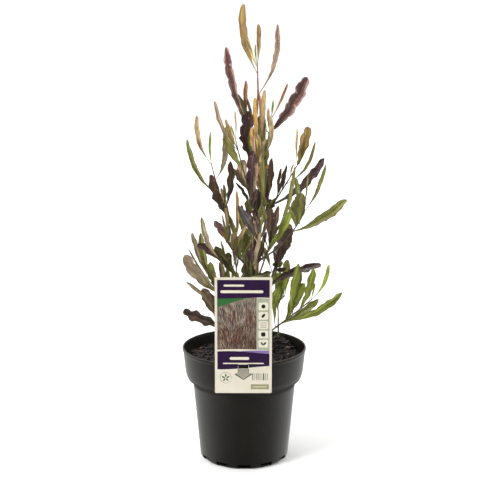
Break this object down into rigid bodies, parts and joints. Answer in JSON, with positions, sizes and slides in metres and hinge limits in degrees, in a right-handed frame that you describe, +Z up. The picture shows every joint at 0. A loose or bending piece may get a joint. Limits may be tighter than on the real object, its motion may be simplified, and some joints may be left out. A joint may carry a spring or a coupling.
{
  "type": "potted purple hop-bush",
  "caption": "Young purple-leaved hop-bush: one thin leader, slender boughs and masses of narrow wavy leaves, in a filled nursery pot with a stepped collar and a hang-on care card.",
  "frame": {"origin": "centre of the pot's flat underside", "axes": "+Z up along the pot's axis, -Y towards the front where the card hangs, +X to the right seen from the front"},
  "size_m": [0.2172, 0.1799, 0.6024],
  "materials": {
    "pot_plastic": "satin charcoal-black moulded plastic",
    "mix": "moist dark bark chips and fines",
    "card": "printed flexible plastic card, cream edge, purple bands",
    "bark": "thin grey-brown bark, finely ridged",
    "leaf_gold": "satin young leaves, golden tan",
    "leaf_green": "satin leaves, olive to bright green",
    "leaf_purple": "satin leaves, deep purple to mauve",
    "leaf_brown": "satin leaves, brown-bronze"
  },
  "bodies": {
    "root": {"pot": "pot_plastic", "potting_mix": "mix", "label_card": "card", "trunk": "bark", "bough_upper_right": "bark", "bough_left_upper": "bark", "bough_left_inner": "bark", "bough_left_middle": "bark", "bough_left_low_middle": "bark", "bough_left_low": "bark", "bough_left_lowest": "bark", "bough_centre_front": "bark", "bough_centre_high": "bark", "bough_right_upper": "bark", "bough_right_middle": "bark", "bough_centre_upper": "bark", "bough_centre_right": "bark", "bough_right_low_middle": "bark", "bough_right_low": "bark", "bough_back_low_left": "bark", "bough_back_low_right": "bark", "bough_back_middle": "bark", "bough_back_upper": "bark", "bough_front_low": "bark", "leaves_top": "leaf_gold", "leaves_upper_left": "leaf_purple", "leaves_upper_right": "leaf_purple", "leaves_upper_front": "leaf_gold", "leaves_left_upper": "leaf_green", "leaves_left_inner": "leaf_green", "leaves_left_middle": "leaf_green", "leaves_left_low_middle": "leaf_gold", "leaves_left_low": "leaf_gold", "leaves_left_lowest": "leaf_brown", "leaves_centre_front": "leaf_green", "leaves_centre_high": "leaf_purple", "leaves_centre_left": "leaf_purple", "leaves_right_upper": "leaf_green", "leaves_right_middle": "leaf_green", "leaves_centre_upper": "leaf_green", "leaves_centre_right": "leaf_brown", "leaves_right_low_middle": "leaf_brown", "leaves_right_low": "leaf_green", "leaves_back_low_left": "leaf_green", "leaves_back_low_right": "leaf_green", "leaves_back_middle": "leaf_brown", "leaves_back_upper": "leaf_gold", "leaves_front_low": "leaf_green", "leaves_sucker": "leaf_green"}
  },
  "joints": []
}
